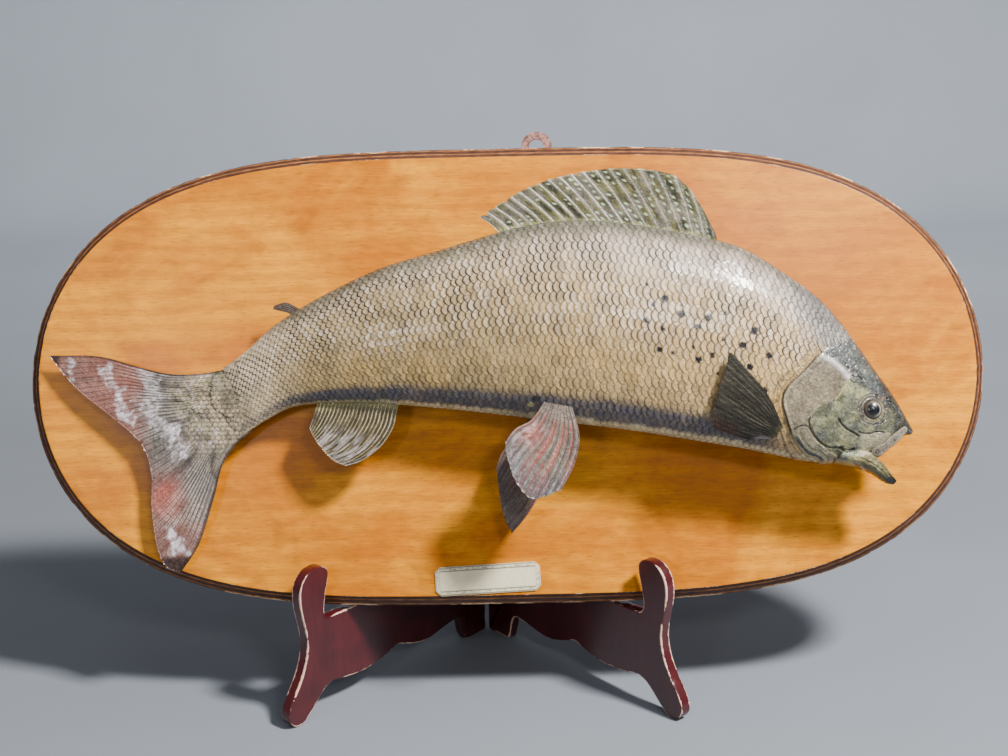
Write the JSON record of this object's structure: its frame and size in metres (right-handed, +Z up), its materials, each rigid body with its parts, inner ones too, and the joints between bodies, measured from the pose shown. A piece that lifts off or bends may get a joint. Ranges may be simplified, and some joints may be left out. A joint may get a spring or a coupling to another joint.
{
  "type": "mounted trophy fish",
  "caption": "Skin-mounted Arctic grayling in side view on an oval varnished plywood board with a wall hanger, standing on a folding two-wing wooden easel.",
  "frame": {"origin": "centre of the footprint of the whole piece, on the floor under the easel's feet", "axes": "+Z up; the board faces -Y, leaning back 17 degrees; +X to the right as seen from the front, the way the fish's head points"},
  "size_m": [0.5494, 0.1364, 0.3189],
  "materials": {
    "board": "honey-coloured satin varnish on plywood, dark bevelled edge",
    "label": "plain cream card",
    "hanger": "dull, rusty",
    "fish_screw": "zinc plated",
    "head": "varnished fish skin over bone, olive grey",
    "gill_cover": "varnished fish skin, brassy",
    "jaw": "varnished fish skin, pale cream and olive",
    "skin": "varnished scaled fish skin with small dark spots",
    "fin_green": "dried rayed fin, olive",
    "fin_pale": "dried rayed fin, pale, glossy",
    "fin_dark": "dried rayed fin, near black with pale rays",
    "fin_tail": "dried rayed fin, reddish brown, glossy",
    "eye": "glass eye, polished",
    "easel": "dark maroon lacquer, worn pale along its edges",
    "hinge": "aged"
  },
  "bodies": {
    "root": {"board": "board", "label": "label", "hanger_plate": "hanger", "hanger_screw_upper": "hanger", "hanger_screw_lower": "hanger", "fish_screw_front": "fish_screw", "fish_screw_rear": "fish_screw", "head": "head", "gill_cover_right": "gill_cover", "gill_cover_left": "gill_cover", "lower_jaw": "jaw", "maxilla_right": "jaw", "maxilla_left": "jaw", "trunk_front": "skin", "trunk_rear": "skin", "tail_stem": "skin", "caudal_fin": "fin_tail", "dorsal_fin": "fin_green", "adipose_fin": "fin_green", "anal_fin": "fin_pale", "pelvic_fin_right": "fin_dark", "pelvic_fin_left": "fin_dark", "pectoral_fin_right": "fin_dark", "pectoral_fin_left": "fin_dark", "eye_right": "eye", "eye_left": "eye", "easel_wing_right": "easel", "easel_wing_left": "easel", "easel_hinge_upper": "hinge", "easel_hinge_lower": "hinge"}
  },
  "joints": []
}
